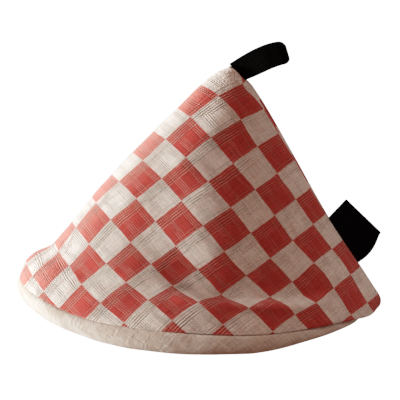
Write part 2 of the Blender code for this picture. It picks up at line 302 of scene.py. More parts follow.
def column_at(slant, column, rows=SECTIONS):
    """One column of a table at each slant, on a smooth curve, with its change per millimetre."""
    table = np.array(rows)
    knots, values = table[:, 0], table[:, column]
    steps = np.diff(values) / np.diff(knots)
    tangents = np.concatenate([steps[:1], 0.5 * (steps[:-1] + steps[1:]), steps[-1:]])
    place = np.clip(np.searchsorted(knots, slant, side="right") - 1, 0, len(steps) - 1)
    width = np.diff(knots)[place]
    x = (slant - knots[place]) / width
    low, high = values[place], values[place + 1]
    low_slope, high_slope = tangents[place] * width, tangents[place + 1] * width
    value = (low * (2 * x**3 - 3 * x**2 + 1) + low_slope * (x**3 - 2 * x**2 + x)
             + high * (3 * x**2 - 2 * x**3) + high_slope * (x**3 - x**2))
    change = (low * (6 * x**2 - 6 * x) + low_slope * (3 * x**2 - 4 * x + 1)
              + high * (6 * x - 6 * x**2) + high_slope * (3 * x**2 - 2 * x)) / width
    return value, change


def section_sizes(slant, inset):
    """Reach to right, left, front and back, and the drops, of each section."""
    right, right_change = column_at(slant, 1)
    left, left_change = column_at(slant, 2)
    front, front_change = column_at(slant, 3)
    back, back_change = column_at(slant, 4)
    drop_right, right_fall = column_at(slant, 5)
    drop_left, left_fall = column_at(slant, 6)
    drop_middle, middle_fall = column_at(slant, 7)
    droop = column_at(slant, 8)[0]

    def level(change, fall):
        return inset * np.clip(np.hypot(1.0, change / fall), 1.0, STEEPEST)

    right = right - level(right_change, right_fall)
    left = left - level(left_change, left_fall)
    front = np.hypot(front, TIP_HALF_DEPTH) - level(front_change, middle_fall)
    back = np.hypot(back, TIP_HALF_DEPTH) - level(back_change, middle_fall)
    return right, left, front, back, drop_right, drop_left, drop_middle, droop, slant


def ledge_shift(slant, angle):
    """How far the front's ledge moves a point inwards and down."""
    degrees = np.degrees(angle)
    knots, tops = np.array(LEDGE_TOP).T
    past = np.clip(slant - np.interp(degrees, knots, tops), LEDGE[0][0], LEDGE[-1][0])
    share = ease(degrees, *LEDGE_RISES) * (1.0 - ease(degrees, *LEDGE_FADES))
    return column_at(past, 1, LEDGE)[0] * share, column_at(past, 2, LEDGE)[0] * share


def section_points(sizes, angle):
    """Points on a section.  The angle runs from the seam (0) over the front to the left fold (pi)
    and over the back to the seam again (2 pi)."""
    right, left, front, back, drop_right, drop_left, drop_middle, droop, slant = sizes
    inwards, down = ledge_shift(slant, angle)
    toward_seam = 0.5 * (1.0 + np.cos(angle))
    across = np.abs(np.sin(angle))
    shape = across ** (POINT_RIGHT * toward_seam + POINT_LEFT * (1.0 - toward_seam))
    x = 0.5 * (right - left) + 0.5 * (right + left) * np.cos(angle)
    y = np.where(angle <= math.pi, -front, back) * shape + inwards
    sag = drop_middle - 0.5 * (drop_right + drop_left)
    drop = drop_right * toward_seam + drop_left * (1.0 - toward_seam) + sag * across**2 + down
    drop = drop + droop * np.where(np.cos(angle) < 0.0, np.sin(2.0 * angle) ** 2, 0.0)
    return np.stack([APEX_X + x, APEX_Y + y, APEX_HEIGHT - drop], axis=-1)


def measure_sections():
    """For each slant, the section's length and the angle at each share of that length."""
    slants = np.arange(TABLE_STEP, SECTIONS[-1][0] + TABLE_STEP, TABLE_STEP)
    angles = np.linspace(0.0, 2.0 * math.pi, TABLE_SHARES)
    curves = section_points(section_sizes(slants[:, None], 0.0), angles[None, :])
    steps = np.linalg.norm(np.diff(curves, axis=1), axis=2)
    runs = np.concatenate([np.zeros((len(slants), 1)), np.cumsum(steps, axis=1)], axis=1)
    shares = np.linspace(0.0, 1.0, TABLE_SHARES)
    table = np.array([np.interp(shares * run[-1], run, angles) for run in runs])
    return slants, runs[:, -1], table


SLANTS, LENGTHS, ANGLES = measure_sections()


def cloth_points(slant, turn, inset):
    """Points of the cone.  turn is the angle round the flat half circle, 0 to pi from the seam
    over the front, and inset how deep the point lies under the outer face."""
    slant, turn, inset = np.broadcast_arrays(
        np.asarray(slant, float), np.asarray(turn, float), np.asarray(inset, float))
    last_row = len(SLANTS) - 1.001     # just short of the table's end
    row = np.clip((slant - SLANTS[0]) / TABLE_STEP, 0.0, last_row)
    column = np.clip(turn / math.pi, 0.0, 1.0) * (TABLE_SHARES - 1)
    low_row = row.astype(int)
    low_column = np.minimum(column.astype(int), TABLE_SHARES - 2)
    down, along = row - low_row, column - low_column
    angle = ((1.0 - down) * ((1.0 - along) * ANGLES[low_row, low_column]
                             + along * ANGLES[low_row, low_column + 1])
             + down * ((1.0 - along) * ANGLES[low_row + 1, low_column]
                       + along * ANGLES[low_row + 1, low_column + 1]))
    return section_points(section_sizes(slant, inset), angle)


def tip_slant(turn):
    """Where the tip is cut off, straight across and aslant."""
    return between(TIP_SLANT_LEFT, TIP_SLANT_RIGHT, (1.0 - np.sin(turn)) ** TIP_CUT_CURVE)


def edge_slant(turn):
    """The lower edge of the checked cloth, longer at the left fold than at the seam."""
    return between(EDGE_SLANT_SEAM, EDGE_SLANT_LEFT, np.sin(turn) ** EDGE_CURVE)


def from_seam(turn):
    """The turn from the nearer end of the seam."""
    return np.minimum(turn, math.pi - turn)


def hanging_edge(turn):
    """The lower edge of the checked cloth as it hangs, with its rounded corner."""
    edge = edge_slant(turn)
    run = from_seam(turn) * edge
    shift = column_at(np.minimum(run, EDGE_SHIFT[-1][0]), 1, EDGE_SHIFT)[0]
    short = np.clip(1.0 - run / CORNER_RUN, 0.0, 1.0)
    return edge + shift - CORNER_CUT * (1.0 - np.sqrt(1.0 - short**2))


def tuck_corner(points, slants, turns):
    """Bend the seam's foot inwards."""
    edge = edge_slant(turns)
    low = np.clip((slants - edge + CORNER_TUCK_RISE) / CORNER_TUCK_RISE, 0.0, CORNER_TUCK_MOST)
    near = 1.0 - ease(from_seam(turns) * edge, *CORNER_TUCK_RUNS)
    points[..., 0] -= CORNER_TUCK * low**2 * near


def pattern_place(slant, turn):
    """Where a point of the cloth lies in the checks, counted along their two directions."""
    spread = np.minimum(np.interp(slant, SLANTS, LENGTHS) / np.maximum(slant, TABLE_STEP),
                        PATTERN_SPREAD)
    angle = PATTERN_TURN + spread * turn / math.pi
    a, b = slant / CHECK * np.cos(angle), slant / CHECK * np.sin(angle)
    shift_a, shift_b = np.zeros_like(a), np.zeros_like(b)
    for at_a, at_b, reach, pull_a, pull_b in PULLS:
        weight = np.exp(-((a - at_a) ** 2 + (b - at_b) ** 2) / (2.0 * reach**2))
        shift_a += pull_a * weight
        shift_b += pull_b * weight
    return a + shift_a, b + shift_b


def uneven(points, waves):
    """Soft unevenness of hand-sewn cloth at each point, in millimetres."""
    flat = points.reshape(-1, 3)
    total = np.zeros(len(flat))
    for wavelength, height, seed in waves:
        scaled = flat / wavelength + seed
        total += height * np.array([noise.noise(Vector(spot)) for spot in scaled.tolist()])
    return total.reshape(points.shape[:-1])


def crease_height(a, b):
    """The height of the creases at a place in the checks."""
    total = np.zeros_like(a)
    for a0, b0, a1, b1, half_width, height in CREASES:
        run_a, run_b = a1 - a0, b1 - b0
        length = math.hypot(run_a, run_b)
        along = ((a - a0) * run_a + (b - b0) * run_b) / length**2
        nearest = np.clip(along, 0.0, 1.0)
        away = CHECK * np.hypot(a - a0 - nearest * run_a, b - b0 - nearest * run_b)
        total += height * np.exp(-0.5 * (away / half_width) ** 2)
    return total


def ring_normals(points):
    """Outward normals of rings of points, the last column being the first again."""
    around = np.roll(points[:, :-1], -1, axis=1) - np.roll(points[:, :-1], 1, axis=1)
    around = np.concatenate([around, around[:, :1]], axis=1)
    down = np.gradient(points, axis=0)
    normals = np.cross(around, down)
    return normals / np.maximum(np.linalg.norm(normals, axis=2, keepdims=True), 1e-9)


def ring_turns():
    """The columns' turns from 0 to pi, closer together at the seam."""
    share = np.linspace(0.0, 1.0, COLUMNS + 1)
    wave = np.sin(2.0 * math.pi * share) / (2.0 * math.pi)
    return math.pi * (share - SEAM_CROWDING * wave)


def ring_mesh(name, points, poles, layers):
    """A closed skin from rings of points with a pole at each end.  layers maps the names of UV
    maps to the places of the rings' corners, with one place more round than there are points."""
    rows, columns = points.shape[0], points.shape[1] - 1
    vertices = np.concatenate([points[:, :-1].reshape(-1, 3), np.array(poles)]) * MM
    near = np.arange(columns)
    far = (near + 1) % columns
    first, last = rows * columns, rows * columns + 1
    row = np.arange(rows - 1)[:, None] * columns
    quads = np.stack([row + near, row + far, row + columns + far, row + columns + near],
                     axis=-1).reshape(-1, 4)
    faces = quads.tolist()
    faces += [(first, int(b), int(a)) for a, b in zip(near, far)]
    bottom = (rows - 1) * columns
    faces += [(last, int(bottom + a), int(bottom + b)) for a, b in zip(near, far)]
    mesh = bpy.data.meshes.new(name)
    mesh.from_pydata(vertices.tolist(), [], faces)
    for layer_name, places in layers.items():
        layer = mesh.uv_layers.new(name=layer_name)
        corners = np.stack([places[:-1, :-1], places[:-1, 1:], places[1:, 1:], places[1:, :-1]],
                           axis=2).reshape(-1, 2)
        top = np.stack([0.5 * (places[0, :-1] + places[0, 1:]), places[0, 1:], places[0, :-1]],
                       axis=1).reshape(-1, 2)
        end = np.stack([0.5 * (places[-1, :-1] + places[-1, 1:]), places[-1, :-1],
                        places[-1, 1:]], axis=1).reshape(-1, 2)
        layer.data.foreach_set("uv", np.concatenate([corners, top, end]).ravel())
    mesh.shade_smooth()
    mesh.update()
    piece = bpy.data.objects.new(name, mesh)
    bpy.context.scene.collection.objects.link(piece)
    return piece


def bake_layout(slants, turns, outside):
    """The flat half circle on the bake's square: the rows outside in one half, the others in the
    other."""
    scale = 2.0 * BAKE_MARGIN * SECTIONS[-1][0]
    side = np.where(outside, 1.0, -1.0)[:, None]
    return np.stack([0.5 + slants * np.cos(turns) / scale,
                     0.5 + side * (BAKE_HALF_GAP + slants * np.sin(turns) / scale)], axis=-1)


class Rows:
    """The rows of a skin, each with its slant and its inset at every column."""

    def __init__(self, turns):
        self.level = np.zeros_like(turns)
        self.slants, self.insets = [], []

    def add(self, slant, inset):
        self.slants.append(slant)
        self.insets.append(self.level + inset)

    def run(self, top, bottom, shares, inset):
        """Rows at shares of the way from top to bottom."""
        for share in shares:
            self.add(between(top, bottom, share), inset)

    def arrays(self):
        return np.array(self.slants), np.array(self.insets)


def build_outer():
    """The checked cloth: its outer face, the fold along its lower edge and its hidden face."""
    turns = ring_turns()
    tip, edge = tip_slant(turns), hanging_edge(turns)
    straight = edge - EDGE_ROUND
    rows = Rows(turns)
    rows.run(tip, straight, np.linspace(0.0, 1.0, OUTER_ROWS), 0.0)
    for step in range(1, EDGE_ROWS):
        angle = math.pi * step / EDGE_ROWS
        rows.add(straight + EDGE_ROUND * math.sin(angle),
                 0.5 * OUTER_THICK * (1.0 - math.cos(angle)))
    rows.run(tip + LINING_TIP, straight, np.linspace(1.0, 0.0, HIDDEN_ROWS), OUTER_THICK)
    rows.add(tip + TIP_SOLID, OUTER_THICK)
    slants, insets = rows.arrays()

    grid_turns = np.broadcast_to(turns, slants.shape)
    forward = np.interp(slants, *np.array(SEAM_FORWARD).T) * (1.0 - insets / OUTER_THICK)
    seam_turns = grid_turns + math.pi * forward / np.interp(slants, SLANTS, LENGTHS)
    points = cloth_points(slants, seam_turns % math.pi, insets)
    tuck_corner(points, slants, grid_turns)
    a, b = pattern_place(slants, seam_turns)

    shown = slice(0, OUTER_ROWS + EDGE_ROWS - 1)
    run = from_seam(grid_turns[shown]) * slants[shown]
    below_tip = slants[shown] - tip
    height = crease_height(a[shown], b[shown]) + uneven(points[shown], UNEVEN)
    height = np.clip(height, *RELIEF_LIMITS) * ease(run, 0.0, SEAM_FADE)
    height -= SEAM_GROOVE * np.exp(-0.5 * (run / SEAM_GROOVE_WIDTH) ** 2)
    height[:, -1] = height[:, 0]
    height *= (1.0 - insets[shown] / OUTER_THICK) * ease(below_tip, 0.0, TIP_FADE)
    height -= TIP_TUCK * (1.0 - ease(below_tip, 0.0, TIP_TUCK_REACH))
    points[shown] += ring_normals(points[shown]) * height[..., None]
    points[..., 2] = np.maximum(points[..., 2], 0.0)

    poles = [points[0].mean(axis=0) + np.array(TIP_DOME), points[-1].mean(axis=0)]
    outside = np.arange(len(slants)) < OUTER_ROWS + EDGE_ROWS // 2
    return ring_mesh("outer_cloth_sewn", points, poles,
                     {"Cloth": np.stack([a, b], axis=-1),
                      "OFBake": bake_layout(slants, grid_turns, outside)})


def fine_roll():
    """ROLL in finer steps, its corners rounded."""
    table = np.array(ROLL)
    knots = np.arange(len(table))
    steps = np.arange(0.0, knots[-1] + 1e-6, 1.0 / ROLL_FINER)
    fine = np.stack([np.interp(steps, knots, column) for column in table.T], axis=1)
    for _ in range(ROLL_SOFTENINGS):
        fine[1:-1] = 0.25 * fine[:-2] + 0.5 * fine[1:-1] + 0.25 * fine[2:]
    return fine


def build_lining():
    """The cream cloth: its hidden face, the hem rolled out at the mouth and the cone's inside."""
    turns = ring_turns()
    tip, edge = tip_slant(turns), edge_slant(turns)
    degrees = np.degrees(from_seam(turns))
    open_share = np.clip(column_at(degrees, 1, HEM_OPEN)[0], 0.0, 1.0)
    tuck_share = 1.0 - ease(degrees, *HEM_TUCKS)
    inside = LINING_FACE + LINING_THICK
    gap = between(*HEM_GAPS, ease(degrees, *HEM_GAP_TURNS))
    roll_top = edge + gap - (gap + HEM_TUCK) * tuck_share
    roll_height = between(HEM_STUB, HEM_HEIGHT, open_share)
    roll_thick = between(LINING_THICK, inside + HEM_PROUD, open_share**HEM_FILLS)

    rows = Rows(turns)
    rows.run(tip + LINING_TIP, edge - EDGE_ROUND, np.linspace(0.0, 1.0, HIDDEN_ROWS)[:-1],
             LINING_FACE)
    hem_start = len(rows.slants)
    for index, (down, inwards) in enumerate(fine_roll()):
        rows.add(roll_top + down * roll_height,
                 inside - (1.0 - inwards) * roll_thick if index else LINING_FACE)
    hem_end = len(rows.slants)
    rows.run(tip + LINING_TIP_INSIDE, edge, np.linspace(1.0, 0.0, INSIDE_ROWS)[1:], inside)
    slants, insets = rows.arrays()

    grid_turns = np.broadcast_to(turns, slants.shape)
    points = cloth_points(slants, grid_turns, insets)
    tuck_corner(points, slants, grid_turns)
    points[..., 2] = np.maximum(points[..., 2], 0.0)
    height = uneven(points, HEM_UNEVEN)
    height[:hem_start] = 0.0
    roll_rows = np.linspace(0.0, 1.0, hem_end - hem_start)
    height[hem_start:hem_end] *= np.sqrt(np.sin(math.pi * roll_rows))[:, None] * open_share
    rows_in = np.arange(len(slants) - hem_end)
    height[hem_end:] *= ease(rows_in, 0.0, INSIDE_FADE_ROWS)[:, None]
    height[:, -1] = height[:, 0]
    points += ring_normals(points) * height[..., None]
    points[..., 2] = np.maximum(points[..., 2], 0.0)

    poles = [points[0].mean(axis=0), points[-1].mean(axis=0)]
    flat = np.stack([np.cos(grid_turns), np.sin(grid_turns)], axis=-1)
    outside = np.arange(len(slants)) < hem_end
    return ring_mesh("lining_sewn", points, poles,
                     {"Cloth": slants[..., None] / CHECK * flat,
                      "OFBake": bake_layout(slants, grid_turns, outside)})


# ---------------------------------------------------------------- the tape and the label
def fold_path(share, length, half_gap_root, half_gap_end, side_steps, turn_steps):
    """A strip folded back on itself.  Gives how far out along the fold's length the strip is, and
    its offset to the front (-) or back (+), at a share of the strip from one end to the other."""
    steps = 2 * side_steps + turn_steps
    step = share * steps
    reach = length - half_gap_end
    if side_steps <= step <= side_steps + turn_steps:
        angle = math.pi * (step - side_steps) / turn_steps
        return reach + half_gap_end * math.sin(angle), -half_gap_end * math.cos(angle)
    side = min(step, steps - step) / side_steps
    gap = between(half_gap_root, half_gap_end, float(ease(side, 0.0, FOLD_OPENS)))
    return reach * side, math.copysign(gap, step - 0.5 * steps)


def loop_place(share_along, share_across):
    """A place on the tape: share_along runs over the folded tape, share_across to its lower
    edge."""
    out, offset = fold_path(share_along, LOOP_LENGTH, LOOP_HALF_ROOT, LOOP_HALF_EYE,
                            LOOP_SIDE_STEPS, LOOP_TURN_STEPS)
    first, last = (math.radians(heading) for heading in LOOP_HEADINGS)
    x, drop = LOOP_ROOT
    for step in range(LOOP_BEND_STEPS):
        part_way = (step + 0.5) / LOOP_BEND_STEPS * out / LOOP_LENGTH
        heading = between(first, last, part_way**LOOP_BEND_POWER)
        x += math.cos(heading) * out / LOOP_BEND_STEPS
        drop -= math.sin(heading) * out / LOOP_BEND_STEPS
    part_way = out / LOOP_LENGTH
    skew = math.radians(between(*LOOP_SKEWS, min(1.0, part_way / LOOP_SKEWED)))
    half_width = between(*LOOP_HALF_WIDTHS, part_way) + LOOP_BULGE * math.sin(math.pi * part_way)
    past = min(max(0.0, 1.0 - (LOOP_LENGTH - out) / LOOP_CORNER), LOOP_CORNER_MOST)
    half_width -= LOOP_CORNER * (1.0 - math.sqrt(1.0 - past**2))
    across = (2.0 * share_across - 1.0) * half_width
    cut = math.radians(LOOP_SKEWS[0])
    return (APEX_X + x + across * math.cos(skew) - LOOP_SEAT * math.sin(cut),
            APEX_Y + offset,
            APEX_HEIGHT - drop + across * math.sin(skew) + LOOP_SEAT * math.cos(cut))


def label_place(share_along, share_across):
    """A place on the label: share_along runs over the folded strip, share_across down the seam."""
    seam = cloth_points(between(*LABEL_SEAM_SLANTS, share_across), 0.0, 0.0)
    top, bottom = (np.array([APEX_X + right, APEX_Y, APEX_HEIGHT - drop])
                   for right, drop in (LABEL_FAR_TOP, LABEL_FAR_BOTTOM))
    far = between(top, bottom, share_across)
    width = np.linalg.norm(far - seam)
    outward = (far - seam) / width
    out, offset = fold_path(share_along, width - LABEL_SEAT, LABEL_HALF_FOLD, LABEL_HALF_FOLD,
                            LABEL_SIDE_STEPS, LABEL_TURN_STEPS)
    bulge = math.sin(math.pi * min(1.0, out / width))
    bow = LABEL_ROUND * bulge * share_across**LABEL_ROUND_POWER
    down = (bottom - top) / np.linalg.norm(bottom - top)
    return seam + outward * (LABEL_SEAT + out) + down * bow + np.array([0.0, offset, 0.0])


def strip_mesh(name, place, steps_along, steps_across, thickness):
    """A closed band of cloth round the surface that place describes, with rounded edges."""
    grid = np.array([[place(i / steps_along, j / steps_across) for j in range(steps_across + 1)]
                     for i in range(steps_along + 1)])
    along, across = np.gradient(grid, axis=0), np.gradient(grid, axis=1)
    normal = np.cross(along, across)
    normal /= np.linalg.norm(normal, axis=2, keepdims=True)
    outward = across / np.linalg.norm(across, axis=2, keepdims=True)
    half = 0.5 * thickness
    steps = np.linalg.norm(np.diff(grid[:, steps_across // 2], axis=0), axis=1)
    lengths = np.concatenate([[0.0], np.cumsum(steps)])
    widths = np.linalg.norm(grid[:, -1] - grid[:, 0], axis=1)
    rings, places = [], []
    for i in range(steps_along + 1):
        ring, spots = [], []
        # the front face and the far edge, then the back face and the near edge
        for facing, end, run_before in ((1.0, steps_across, 0.0), (-1.0, 0, 1.0)):
            for step in range(steps_across + 1):
                j = abs(steps_across - end - step)
                inset = {0: half, steps_across: -half}.get(j, 0.0)
                ring.append(grid[i, j] + normal[i, j] * half * facing + outward[i, j] * inset)
                spots.append((lengths[i], widths[i] * (run_before + step / steps_across)))
            for angle in map(math.radians, STRIP_EDGE_ANGLES):
                ring.append(grid[i, end] + facing * half * (
                    outward[i, end] * (math.cos(angle) - 1.0) + normal[i, end] * math.sin(angle)))
                spots.append((lengths[i], widths[i] * (run_before + 1.0)))
        ring.append(ring[0])
        spots.append(spots[-1])
        rings.append(ring)
        places.append(spots)
    points, places = np.array(rings), np.array(places)
    poles = [points[0, :-1].mean(axis=0), points[-1, :-1].mean(axis=0)]
    span = places.max() * BAKE_MARGIN
    return ring_mesh(name, points, poles, {"Cloth": places / CHECK,
                                           "OFBake": BAKE_CORNER + places / span})


# ---------------------------------------------------------------- node building
class Nodes:
    """Short names for the nodes of one material."""

    def __init__(self, name):
        self.material = bpy.data.materials.new(name)
        self.material.use_nodes = True
        self.tree = self.material.node_tree
        self.shader = self.tree.nodes["Principled BSDF"]

    def plug(self, socket, value):
        if isinstance(value, bpy.types.NodeSocket):
            self.tree.links.new(value, socket)
        else:
            socket.default_value = value

    def math(self, operation, *values):
        node = self.tree.nodes.new("ShaderNodeMath")
        node.operation = operation
        for socket, value in zip(node.inputs, values):
            self.plug(socket, value)
        return node.outputs[0]

    def chain(self, operation, values):
        total = values[0]
        for value in values[1:]:
            total = self.math(operation, total, value)
        return total

    def add(self, *values):
        return self.chain("ADD", values)

    def times(self, *values):
        return self.chain("MULTIPLY", values)

    def scaled(self, value, factor, offset):
        return self.math("MULTIPLY_ADD", value, factor, offset)

    def ramp(self, value, low, high, to_low=0.0, to_high=1.0):
        node = self.tree.nodes.new("ShaderNodeMapRange")
        node.interpolation_type = "SMOOTHSTEP"
        for socket, number in zip(node.inputs, (value, low, high, to_low, to_high)):
            self.plug(socket, number)
        return node.outputs[0]

    def band(self, value, low, high, soft):
        """1 between low and high, 0 outside, over soft edges."""
        rise = self.ramp(value, low - soft, low + soft)
        fall = self.ramp(value, high - soft, high + soft, 1.0, 0.0)
        return self.times(rise, fall)

    def wave(self, value, pitch, phase=0.0):
        """From 0 to 1 and back once in every pitch."""
        turned = self.math("SINE", self.scaled(value, 2.0 * math.pi / pitch, phase))
        return self.scaled(turned, 0.5, 0.5)

    def vector(self, x, y, z=0.0):
        node = self.tree.nodes.new("ShaderNodeCombineXYZ")
        for socket, value in zip(node.inputs, (x, y, z)):
            self.plug(socket, value)
        return node.outputs[0]

    def noise(self, vector, scale, detail, roughness=0.5):
        node = self.tree.nodes.new("ShaderNodeTexNoise")
        self.plug(node.inputs["Vector"], vector)
        node.inputs["Scale"].default_value = scale
        node.inputs["Detail"].default_value = detail
        node.inputs["Roughness"].default_value = roughness
        return node.outputs["Fac"]

    def streaks(self, a, b, scale_a, scale_b, seed=0.0, detail=1.0):
        """Noise that is drawn out along the direction with the smaller scale."""
        place = self.vector(self.times(a, scale_a), self.times(b, scale_b), seed)
        return self.noise(place, scale=1.0, detail=detail)

    def slub(self, ma, mb, fine, long):
        """Thick and thin places in the yarns of both directions, round 0."""
        both = self.add(self.streaks(ma, mb, fine, long),
                        self.streaks(ma, mb, long, fine, seed=3.0))
        return self.math("SUBTRACT", both, 1.0)

    def mix(self, share, first, second, blend="MIX"):
        node = self.tree.nodes.new("ShaderNodeMix")
        node.data_type = "RGBA"
        node.blend_type = blend
        node.clamp_factor = True
        self.plug(node.inputs["Factor"], share)
        for name, value in (("A", first), ("B", second)):
            socket = [s for s in node.inputs if s.name == name and s.type == "RGBA"][0]
            if isinstance(value, tuple):
                value = (*value, 1.0)
            self.plug(socket, value)
        return [s for s in node.outputs if s.type == "RGBA"][0]

    def weighed(self, parts, weights):
        return self.add(*(self.times(part, weight) for part, weight in zip(parts, weights)))

    def shaded(self, colour, shade):
        return self.mix(1.0, colour, self.vector(shade, shade, shade), "MULTIPLY")

    def cloth_place(self):
        """The place on the flat cloth, in checks along its two directions."""
        node = self.tree.nodes.new("ShaderNodeUVMap")
        node.uv_map = "Cloth"
        split = self.tree.nodes.new("ShaderNodeSeparateXYZ")
        self.tree.links.new(node.outputs["UV"], split.inputs[0])
        return split.outputs[0], split.outputs[1]

    def bump(self, height, distance):
        """Relief from a height, where a height of 1 stands this many millimetres out."""
        node = self.tree.nodes.new("ShaderNodeBump")
        node.inputs["Strength"].default_value = 1.0
        node.inputs["Distance"].default_value = distance * MM
        self.plug(node.inputs["Height"], height)
        self.tree.links.new(node.outputs["Normal"], self.shader.inputs["Normal"])

    def finish(self, colour, roughness, sheen, sheen_roughness, specular):
        self.plug(self.shader.inputs["Base Color"], colour)
        self.plug(self.shader.inputs["Roughness"], roughness)
        self.shader.inputs["Sheen Weight"].default_value = sheen
        self.shader.inputs["Sheen Roughness"].default_value = sheen_roughness
        self.shader.inputs["Specular IOR Level"].default_value = specular
        return self.material


WHITE_YARN = (0.80, 0.75, 0.69)
# painted shade in the gaps between the white checks' raised threads
PAINTED_GAP_SHADE_WHITE = (0.40, 0.31, 0.25)
PINK_YARN = (0.78, 0.50, 0.44)
RED_YARN = (0.515, 0.080, 0.071)
PAINTED_SHEEN_RED = (0.800, 0.370, 0.310)     # painted sheen, where the key light falls on the fold at the left
PAINTED_HIGHLIGHT_RED = (0.880, 0.420, 0.340)   # painted highlight on the raised threads
PAINTED_GAP_SHADE_RED = (0.340, 0.038, 0.034)      # painted shade in the gaps between them
CREAM_YARN = (0.69, 0.64, 0.57)
CREAM_SHADE = (0.60, 0.52, 0.44)
BLACK_TAPE = (0.0018, 0.0018, 0.0018)
BLACK_RIBBON = (0.0040, 0.0040, 0.0044)
DUSTY = 2.2                    # how much paler the dust makes the black

# The pattern's own place, and how it is woven.  Pitches are in millimetres.
PATTERN_SHIFT = (0.58, 0.23)   # checks
CHECK_SOFT = 0.07              # the checks' edges are this soft
WANDER = 0.06                  # checks; threads never run quite straight
WANDER_SCALES = (0.6, 2.2)
SLUB_SCALES = (0.9, 0.07)      # across and along a yarn
PLAIN_PITCH = 0.82
CHECKED_RELIEF = (0.08, 0.30, 0.30)         # plain weave, slub, grain
CREAM_PITCH = 0.7
CREAM_SLUB_SCALES = (0.8, 0.08)
CREAM_RELIEF = (0.10, 0.45, 0.35)           # weave, slub, speckle
CHECKED_TONE = 0.75            # before the slub and the grain make it lighter or darker
CREAM_TONE = 0.77
SLUB_SHADES = 0.45
GRAIN_SHADES = 0.50
FINE_RIB = 0.5
RIB_RELIEF = (0.22, 0.08)                   # ribs, fine ribs
# From where to where a thing comes in, by a noise or by its place, and its strength at both.
PINK_SHOWS = (0.44, 0.72, 0.0, 0.35)        # red yarn among the white
FOLD_RAISE_AND_PAINTED_LIGHT = (1.6, 0.5, 0.40, 1.0)         # by the distance from the fold at the left, where the key light falls: the threads' raise and their painted highlight and shade
# painted sheen, stronger towards the fold at the left where the key light falls
FOLD_PAINTED_SHEEN = (0.30, 0.05, 0.0, 0.42)
DUST_SHOWS = (0.4, 0.75)
CREAM_MOTTLE = (0.38, 0.62)
# The raised threads' painted highlight and the painted shade in their gaps, as parts of a wave
# from 0 to 1.
THREAD_RISE = (0.15, 0.75)
GAP_FALL = (0.45, 0.05)
DOT_RISE = (0.1, 0.7)
DOT_LEAST = 0.3                # how much of a thread shows between its dots
DOT_PITCH = 1.45
DOT_SLANT = 0.6                # the rows of dots run aslant
STRONGEST_NOISE = 0.60


class Threads(NamedTuple):
    """Raised dotted threads that run in bands of each check."""
    bands: tuple       # from, to, soft edge and strength, in shares of a check
    streaks: tuple     # how fast they change in strength along a and b, and a seed
    weakest: tuple     # the noise at which they are weakest, and their strength there
    pitch: float       # millimetres
    phase: float
    dotted: float      # how deep the dots cut into their relief
    level: float       # their mean height, which is taken off
    relief: float
    bright: float      # how much painted highlight they give a red check
    painted_shade_red: float    # how much painted shade the gaps between them give a red check
    painted_shade_white: float  # and a white one


CORDS = Threads(bands=((0.02, 0.38, 0.03, 1.0), (0.84, 0.97, 0.02, 0.6)),
                streaks=(0.30, 0.10, 5.0), weakest=(0.34, 0.30), pitch=1.6, phase=0.4,
                dotted=0.7, level=0.33, relief=0.90, bright=0.90, painted_shade_red=0.85, painted_shade_white=0.75)
LINES = Threads(bands=((0.04, 0.24, 0.02, 1.0), (0.54, 0.80, 0.02, 0.8)),
                streaks=(0.10, 0.30, 9.0), weakest=(0.36, 0.25), pitch=1.25, phase=0.0,
                dotted=0.6, level=0.35, relief=0.65, bright=0.75, painted_shade_red=0.65, painted_shade_white=0.60)


def raised_threads(n, look, share, across, along, streaks, raised_and_painted_light):
    """The threads, the gaps between them and their relief.  share is the place in the check."""
    bands = n.add(*(n.times(n.band(share, low, high, soft), strength)
                    for low, high, soft, strength in look.bands))
    weakest_noise, weakest = look.weakest
    shown = n.times(bands, n.ramp(streaks, weakest_noise, STRONGEST_NOISE, weakest), raised_and_painted_light)
    wave = n.wave(across, look.pitch, look.phase)
    dots = n.wave(n.add(along, n.times(across, DOT_SLANT)), DOT_PITCH)
    dotted = n.scaled(n.ramp(dots, *DOT_RISE), 1.0 - DOT_LEAST, DOT_LEAST)
    # where the painted highlight goes, on the threads
    threads = n.times(shown, n.ramp(wave, *THREAD_RISE), dotted)
    # where the painted shade goes, in the gaps between them
    gaps = n.times(shown, n.ramp(wave, *GAP_FALL))
    height = n.times(wave, n.scaled(dots, look.dotted, 1.0 - look.dotted))
    relief = n.times(shown, n.math("SUBTRACT", height, look.level), look.relief)
    return threads, gaps, relief


